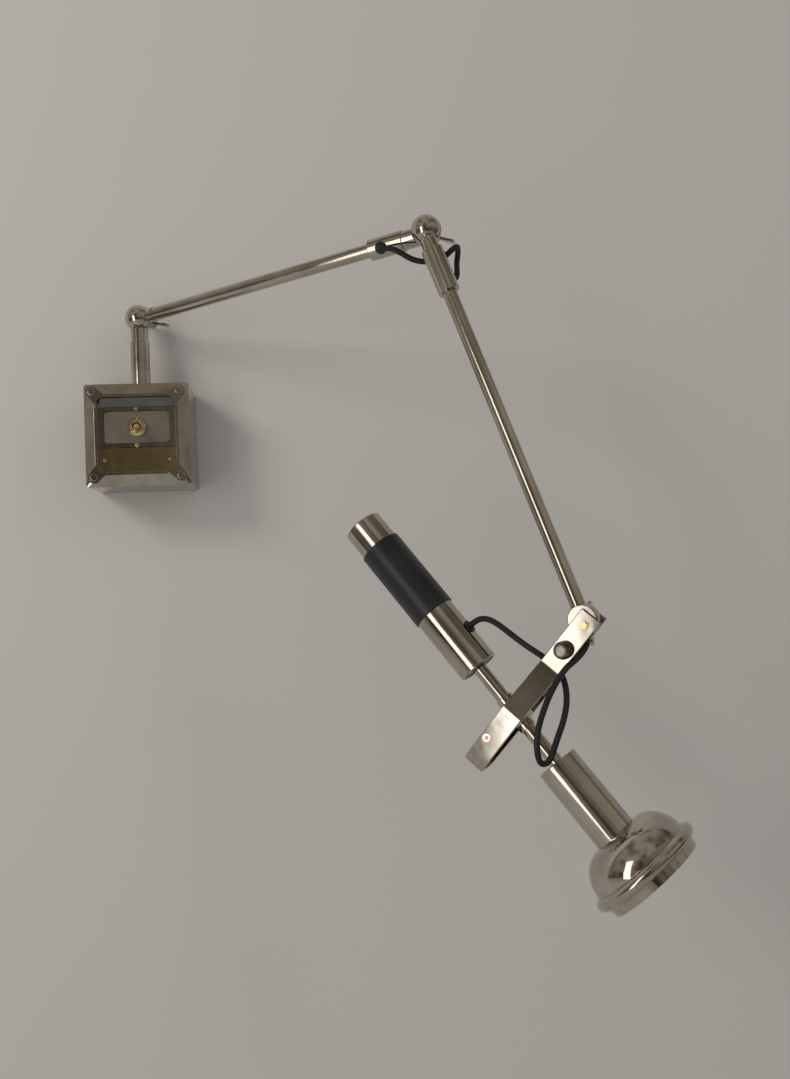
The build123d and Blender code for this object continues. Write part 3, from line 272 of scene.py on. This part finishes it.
# the two free stretches of flex: each is one NURBS line with its route's points as control points
flex = {
    "diameter": 0.005, "sides": 20, "stepsPerPoint": 12,
    "apart": 0.0002,        # points of the read line nearer than this count as one
}
elbowRoute = [
    (0.2348, -0.1639, 0.1445),
    (0.2324, -0.1688, 0.1420),
    (0.2360, -0.1744, 0.1403),
    (0.2426, -0.1773, 0.1396),
    (0.2507, -0.1778, 0.1354),
    (0.2611, -0.1776, 0.1287),
    (0.2737, -0.1780, 0.1263),
    (0.2860, -0.1824, 0.1265),
    (0.2954, -0.1891, 0.1343),
    (0.3006, -0.1842, 0.1386),
    (0.3018, -0.1776, 0.1344),
    (0.3000, -0.1776, 0.1246),
    (0.2989, -0.1864, 0.1133),
    (0.2971, -0.1876, 0.1076),
    (0.2926, -0.1916, 0.1068),
]
headRoute = [
    (0.2927, -0.2062, -0.1920),
    (0.2969, -0.2098, -0.1877),
    (0.3040, -0.2121, -0.1858),
    (0.3118, -0.2149, -0.1891),
    (0.3212, -0.2186, -0.1971),
    (0.3337, -0.2241, -0.2083),
    (0.3474, -0.2313, -0.2185),
    (0.3575, -0.2371, -0.2271),
    (0.3616, -0.2434, -0.2385),
    (0.3610, -0.2497, -0.2528),
    (0.3565, -0.2536, -0.2674),
    (0.3503, -0.2521, -0.2832),
    (0.3454, -0.2496, -0.2981),
    (0.3407, -0.2514, -0.3017),
    (0.3354, -0.2538, -0.3003),
    (0.3335, -0.2533, -0.2909),
    (0.3346, -0.2529, -0.2762),
    (0.3402, -0.2518, -0.2605),
    (0.3489, -0.2515, -0.2423),
    (0.3595, -0.2540, -0.2267),
    (0.3679, -0.2542, -0.2209),
    (0.3750, -0.2520, -0.2149),
    (0.3809, -0.2488, -0.2065),
    (0.3796, -0.2482, -0.1981),
]


def evaluatedMesh(thing):
    bpy.context.view_layer.update()
    return bpy.data.meshes.new_from_object(thing.evaluated_get(bpy.context.evaluated_depsgraph_get()))


def newNodeTree(name, inputs):
    tree = bpy.data.node_groups.new(name, "GeometryNodeTree")
    tree.interface.new_socket("Geometry", in_out="INPUT", socket_type="NodeSocketGeometry")
    tree.interface.new_socket("Geometry", in_out="OUTPUT", socket_type="NodeSocketGeometry")
    for label, kind in inputs.items():
        tree.interface.new_socket(label, in_out="INPUT", socket_type="NodeSocket" + kind)
    return tree, addNode(tree, "NodeGroupInput").outputs


def finishNodeTree(tree, sweep, given):
    smooth = addNode(tree, "GeometryNodeSetShadeSmooth", inputs={"Geometry": sweep})
    real = addNode(tree, "GeometryNodeRealizeInstances", inputs={"Geometry": smooth.outputs[0]})
    coated = addNode(tree, "GeometryNodeSetMaterial", inputs={
        "Geometry": real.outputs[0], "Material": given["Finish"],
    })
    addNode(tree, "NodeGroupOutput", inputs={"Geometry": coated.outputs[0]})


def roundSweep(tree, line, given):
    ring = addNode(tree, "GeometryNodeCurvePrimitiveCircle", inputs={
        "Resolution": given["Sides"], "Radius": given["Radius"],
    })
    return addNode(tree, "GeometryNodeCurveToMesh", inputs={
        "Curve": line, "Profile Curve": ring.outputs[0], "Fill Caps": True,
    }).outputs[0]


# puts the tree on the object with these inputs and gives back its result as a plain closed mesh
def readNodes(thing, tree, values):
    modifier = thing.modifiers.new("shape", "NODES")
    modifier.node_group = tree
    for item in tree.interface.items_tree:
        if item.in_out == "INPUT" and item.name in values:
            modifier[item.identifier] = values[item.name]
    mesh = evaluatedMesh(thing)
    thing.modifiers.remove(modifier)
    shell = bmesh.new()
    shell.from_mesh(mesh)
    bmesh.ops.remove_doubles(shell, verts=shell.verts, dist=1e-7)
    bmesh.ops.recalc_face_normals(shell, faces=shell.faces)
    shell.to_mesh(mesh)
    shell.free()
    return mesh


# a round section swept along whatever curve the modifier sits on
flexTree, flexGiven = newNodeTree("flexSweep", {"Radius": "Float", "Sides": "Int", "Finish": "Material"})
finishNodeTree(flexTree, roundSweep(flexTree, flexGiven["Geometry"], flexGiven), flexGiven)


# the line is read once for its length and path, then swept; the piece keeps only the finished tube
def makeFlex(name, route):
    curve = bpy.data.curves.new(name + "Line", "CURVE")
    curve.dimensions = "3D"
    curve.resolution_u = flex["stepsPerPoint"]
    spline = curve.splines.new("NURBS")
    spline.points.add(len(route) - 1)
    for point, where in zip(spline.points, route):
        point.co = (*where, 1.0)
    spline.order_u = 3
    spline.use_endpoint_u = True
    line = bpy.data.objects.new(name + "Line", curve)
    scene.collection.objects.link(line)
    path = []
    for vertex in evaluatedMesh(line).vertices:
        if not path or (vertex.co - Vector(path[-1])).length > flex["apart"]:
            path.append(tuple(vertex.co))
    tube = readNodes(line, flexTree, {
        "Radius": flex["diameter"] / 2, "Sides": flex["sides"], "Finish": mattFlex,
    })
    tube.name = name
    bpy.data.objects.remove(line)
    piece = bpy.data.objects.new(name, tube)
    scene.collection.objects.link(piece)
    length = sum((Vector(b) - Vector(a)).length for a, b in zip(path, path[1:]))
    print(name, "length in metres", round(length, 4))
    return piece, path, length


elbowFlex, elbowPath, elbowLength = makeFlex("elbowFlex", elbowRoute)
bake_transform(elbowFlex)
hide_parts("elbow_cord")

headFlex, headPath, headLength = makeFlex("headFlex", headRoute)
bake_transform(headFlex)
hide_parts("head_cord")


# the ends of thread that stand out past each wing nut: 6 mm bolts and a 5 mm pin, all at one pitch
threads = {
    "pitch": 0.0008, "height": 0.0024, "crest": 0.00026, "sides": 8, "stepsPerTurn": 28,
    "inward": (0.46424, 0.88570, 0),     # the way the bolts point, away from the room
    "ends": {
        "shoulderThread": {
            "from": (0, -0.0300, 0.1220), "past": 0.0229, "radius": 0.0030,
            "body": "upper_arm", "finish": warmNickel,
        },
        "elbowThread": {
            "from": (0.27370, -0.18305, 0.15307), "past": 0.0229, "radius": 0.0030,
            "body": "lower_arm", "finish": warmNickel,
        },
        "wristThread": {
            "from": (0.37962, -0.24816, -0.19339), "past": 0.0210, "radius": 0.0025,
            "body": "wrist_bracket", "finish": brightBrass,
        },
    },
}
threadTree, threadGiven = newNodeTree("threadCoil", {
    "Turns": "Float", "Height": "Float", "Coil Radius": "Float",
    "Radius": "Float", "Sides": "Int", "Finish": "Material",
})
coil = addNode(threadTree, "GeometryNodeCurveSpiral", inputs={
    "Resolution": threads["stepsPerTurn"], "Rotations": threadGiven["Turns"], "Height": threadGiven["Height"],
    "Start Radius": threadGiven["Coil Radius"], "End Radius": threadGiven["Coil Radius"],
})
finishNodeTree(threadTree, roundSweep(threadTree, coil.outputs[0], threadGiven), threadGiven)
inward = Vector(threads["inward"]).normalized()
turned = inward.to_track_quat("Z", "Y").to_matrix().to_4x4()
for name, end in threads["ends"].items():
    piece = bpy.data.objects.new(name, bpy.data.meshes.new(name))
    scene.collection.objects.link(piece)
    ridge = readNodes(piece, threadTree, {
        "Turns": threads["height"] / threads["pitch"], "Height": threads["height"],
        "Coil Radius": end["radius"], "Radius": threads["crest"], "Sides": threads["sides"],
        "Finish": end["finish"],
    })
    ridge.transform(Matrix.Translation(Vector(end["from"]) + inward * end["past"]) @ turned)
    piece.data = ridge
    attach(piece, end["body"])
print("threads cut on", len(threads["ends"]), "bolt ends")


# the elbow's front half ball: a whole round face, with the neck growing out from under it
frontBall = {
    "centre": (0.27370, -0.18305, 0.15307), "outward": (-0.46424, -0.88570, 0),
    "along": (0.2986, -0.1565, -0.9415), "radius": 0.01325, "washer": 0.0006, "stemOffset": 0.0085,
    "neckRadius": 0.0074, "neckStart": 0.0080, "neckEnd": 0.0230,
    "spigotRadius": 0.00635, "spigotEnd": 0.0340,
    "sectors": 72, "faceSteps": 24, "neckSteps": 14,
    "crease": 35,           # degrees, past which an edge stays sharp
}


# a profile of (reach, height) pairs turned once round an axis
def spun(name, profile, origin, axis, sectors):
    turn = Vector(axis).to_track_quat("Z", "Y").to_matrix().to_4x4()
    shell = bmesh.new()
    points = [shell.verts.new((reach, 0, height)) for reach, height in profile]
    edges = [shell.edges.new(pair) for pair in zip(points, points[1:])]
    bmesh.ops.spin(shell, geom=points + edges, cent=(0, 0, 0), axis=(0, 0, 1), angle=2 * math.pi, steps=sectors)
    bmesh.ops.remove_doubles(shell, verts=shell.verts, dist=1e-6)
    bmesh.ops.recalc_face_normals(shell, faces=shell.faces)
    mesh = bpy.data.meshes.new(name)
    shell.to_mesh(mesh)
    shell.free()
    mesh.transform(Matrix.Translation(origin) @ turn)
    piece = bpy.data.objects.new(name, mesh)
    scene.collection.objects.link(piece)
    return piece


# a quarter circle from the side of a ball to its top
def quarter(radius, steps, centre):
    turns = [math.pi / 2 * step / steps for step in range(steps + 1)]
    return [(radius * math.cos(turn), centre + radius * math.sin(turn)) for turn in turns]


def makeFrontBall(look):
    outward = Vector(look["outward"]).normalized()
    along = Vector(look["along"]).normalized()
    centre = Vector(look["centre"])
    half = [(0, look["washer"])] + quarter(look["radius"], look["faceSteps"], look["washer"])
    half[-1] = (0, half[-1][1])
    piece = spun("elbowFrontBall", half, centre, outward, look["sectors"])
    bulge = look["neckStart"] + look["neckRadius"]
    dome = reversed(quarter(look["neckRadius"], look["neckSteps"], bulge))
    neck = [(reach, 2 * bulge - height) for reach, height in dome]
    neck[0] = (0, neck[0][1])
    neck += [
        (look["neckRadius"], look["neckEnd"]), (look["spigotRadius"], look["neckEnd"]),
        (look["spigotRadius"], look["spigotEnd"]), (0, look["spigotEnd"]),
    ]
    stem = spun("elbowStem", neck, centre + outward * look["stemOffset"], along, look["sectors"])
    join = piece.modifiers.new("join", "BOOLEAN")
    join.operation = "UNION"
    join.solver = "EXACT"
    join.object = stem
    mesh = evaluatedMesh(piece)
    piece.modifiers.remove(join)
    bpy.data.objects.remove(stem)
    mesh.materials.clear()
    mesh.materials.append(warmNickel)
    mesh.polygons.foreach_set("use_smooth", [True] * len(mesh.polygons))
    mesh.set_sharp_from_angle(angle=math.radians(look["crease"]))
    piece.data = mesh
    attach(piece, "lower_arm")
    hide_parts("elbow_front_knuckle")


makeFrontBall(frontBall)
print("front half of the elbow made")


# camera at the photograph's viewpoint
view = {
    "spot": (0.1599, -1.0103, -0.1503), "yaw": 5.17, "pitch": 2.34, "roll": -2.44,
    "lens": 32.27, "sensor": 36.0, "nearest": 0.01,
}
yaw, pitch, roll = (math.radians(view[name]) for name in ("yaw", "pitch", "roll"))
ahead = Vector((math.sin(yaw) * math.cos(pitch), math.cos(yaw) * math.cos(pitch), math.sin(pitch)))
level = Vector((math.cos(yaw), -math.sin(yaw), 0))
above = level.cross(ahead)
rightward = level * math.cos(roll) + above * math.sin(roll)
upward = above * math.cos(roll) - level * math.sin(roll)
camera = bpy.data.objects.new("camera", bpy.data.cameras.new("camera"))
camera.data.lens = view["lens"]
camera.data.sensor_width = view["sensor"]
camera.data.clip_start = view["nearest"]
camera.matrix_world = Matrix.Translation(view["spot"]) @ Matrix((rightward, upward, -ahead)).transposed().to_4x4()
scene.collection.objects.link(camera)
scene.camera = camera


# wall and floor: one pale sheet with a cove, seen from its front only
backdrop = {
    "wall": 0.0012, "floor": -1.3, "cove": 0.3, "half": 3.0, "top": 2.2, "front": -3.6,
    "hole": 0.047,          # half the side of the opening behind the box, so that light reaches its back
    "coveSteps": 16, "colour": "#b4b0a9", "roughness": 0.9, "specular": 0.2,
    "unevenness": 0.05, "unevenBy": 0.0006, "strength": 0.25,
}


def makeBackdrop():
    outline = [(backdrop["wall"], height) for height in (backdrop["top"], backdrop["hole"], -backdrop["hole"])]
    for step in range(backdrop["coveSteps"] + 1):
        angle = math.pi / 2 * step / backdrop["coveSteps"]
        outline.append((
            backdrop["wall"] - backdrop["cove"] * (1 - math.cos(angle)),
            backdrop["floor"] + backdrop["cove"] * (1 - math.sin(angle)),
        ))
    outline.append((backdrop["front"], backdrop["floor"]))
    columns = [-backdrop["half"], -backdrop["hole"], backdrop["hole"], backdrop["half"]]
    verts = [(x, y, z) for y, z in outline for x in columns]
    # four points a row; the middle panel of the second band is left open
    faces = [
        (4 * row + column, 4 * row + 4 + column, 4 * row + 5 + column, 4 * row + 1 + column)
        for row in range(len(outline) - 1) for column in range(3) if (row, column) != (1, 1)
    ]
    mesh = bpy.data.meshes.new("backdrop")
    mesh.from_pydata(verts, [], faces)
    mesh.polygons.foreach_set("use_smooth", [True] * len(mesh.polygons))
    sheet = bpy.data.objects.new("backdrop", mesh)
    scene.collection.objects.link(sheet)
    material, tree, shader = newMaterial("matPaintedWall")
    points = objectPoints(tree)
    shader.inputs["Base Color"].default_value = toLinear(backdrop["colour"])
    shader.inputs["Roughness"].default_value = backdrop["roughness"]
    shader.inputs["Specular IOR Level"].default_value = backdrop["specular"]
    bump = addNode(tree, "ShaderNodeBump", inputs={
        "Strength": backdrop["strength"], "Distance": backdrop["unevenBy"],
        "Height": noiseOf(tree, points, backdrop["unevenness"], detail=2.0),
    })
    tree.links.new(bump.outputs[0], shader.inputs["Normal"])
    clear = addNode(tree, "ShaderNodeBsdfTransparent")
    side = addNode(tree, "ShaderNodeNewGeometry")
    both = addNode(tree, "ShaderNodeMixShader", inputs={
        0: side.outputs["Backfacing"], 1: shader.outputs[0], 2: clear.outputs[0],
    })
    output = next(node for node in tree.nodes if node.type == "OUTPUT_MATERIAL")
    tree.links.new(both.outputs[0], output.inputs["Surface"])
    mesh.materials.append(material)
    sheet.visible_shadow = False
    sheet.visible_diffuse = False


makeBackdrop()


# a soft window that the metal mirrors, a key that gives the shadows, a fill from the right,
# and one from behind for the back of the box
lamps = {
    "window": {
        "spot": (-1.28, -1.80, -0.30), "aim": (0.30, -0.20, -0.20), "size": (0.62, 1.7),
        "power": 8, "colour": "#fffcf7", "mirrored": True,
    },
    "key": {
        "spot": (-1.7, -1.5, 1.15), "aim": (0.10, -0.10, -0.05), "size": (0.8, 0.8),
        "power": 27, "colour": "#fffaf3", "mirrored": False,
    },
    "fill": {
        "spot": (2.1, -1.7, 0.9), "aim": (0.2, -0.1, -0.1), "size": (0.35, 1.3),
        "power": 5, "colour": "#f8f8ff", "mirrored": False,
    },
    "rear": {
        "spot": (0.6, 1.8, 1.4), "aim": (0.2, -0.1, -0.1), "size": (1.2, 1.2),
        "power": 10, "colour": "#ffffff", "mirrored": True,
    },
}
for name, given in lamps.items():
    lamp = bpy.data.lights.new(name, "AREA")
    lamp.shape = "RECTANGLE"
    lamp.size, lamp.size_y = given["size"]
    lamp.energy = given["power"]
    lamp.color = toLinear(given["colour"])[:3]
    thing = bpy.data.objects.new(name, lamp)
    thing.location = given["spot"]
    thing.rotation_mode = "QUATERNION"
    thing.rotation_quaternion = (Vector(given["aim"]) - Vector(given["spot"])).to_track_quat("-Z", "Y")
    thing.visible_glossy = given["mirrored"]
    scene.collection.objects.link(thing)

# the room: metal and glass see it darker towards the floor and a little patchy, diffuse light is even
room = {
    "low": "#5f584f", "high": "#a39b8f", "from": -0.7, "to": 0.6,
    "patch": 0.45, "patchDark": "#8a857f", "patchPale": "#ffffff", "patchFrom": 0.35, "patchTo": 0.6,
    "light": "#f3f4f6", "lightStrength": 0.56, "behind": "#b9b5ae",
}
world = bpy.data.worlds.new("room")
scene.world = world
world.use_nodes = True
tree = world.node_tree
tree.nodes.clear()
rays = addNode(tree, "ShaderNodeLightPath")
heading = addNode(tree, "ShaderNodeTexCoord").outputs["Generated"]
parts = addNode(tree, "ShaderNodeSeparateXYZ", inputs={0: heading})
rise = addNode(tree, "ShaderNodeMapRange", {"interpolation_type": "SMOOTHSTEP"}, {
    "Value": parts.outputs["Z"], "From Min": room["from"], "From Max": room["to"],
    "To Min": 0.0, "To Max": 1.0,
}).outputs[0]
patchy = noiseOf(tree, heading, room["patch"], detail=1.0)
patches = spanOf(tree, patchy, 0, 1, room["patchFrom"], room["patchTo"])
shaded = addNode(tree, "ShaderNodeMix", {"data_type": "RGBA", "blend_type": "MULTIPLY"}, {
    "Factor": 1.0, 6: blendOf(tree, rise, room["low"], room["high"]),
    7: blendOf(tree, patches, room["patchDark"], room["patchPale"]),
}).outputs[2]
mirrored = addNode(tree, "ShaderNodeBackground", inputs={"Color": shaded, "Strength": 1.0})
lighting = addNode(tree, "ShaderNodeBackground", inputs={
    "Color": toLinear(room["light"]), "Strength": room["lightStrength"],
})
seen = addNode(tree, "ShaderNodeBackground", inputs={"Color": toLinear(room["behind"]), "Strength": 1.0})
sharp = addNode(tree, "ShaderNodeMath", {"operation": "MAXIMUM"}, {
    0: rays.outputs["Is Glossy Ray"], 1: rays.outputs["Is Transmission Ray"],
})
first = addNode(tree, "ShaderNodeMixShader", inputs={
    0: sharp.outputs[0], 1: lighting.outputs[0], 2: mirrored.outputs[0],
})
second = addNode(tree, "ShaderNodeMixShader", inputs={
    0: rays.outputs["Is Camera Ray"], 1: first.outputs[0], 2: seen.outputs[0],
})
addNode(tree, "ShaderNodeOutputWorld", inputs={0: second.outputs[0]})
scene.view_settings.view_transform = "Standard"
print("camera and light set")
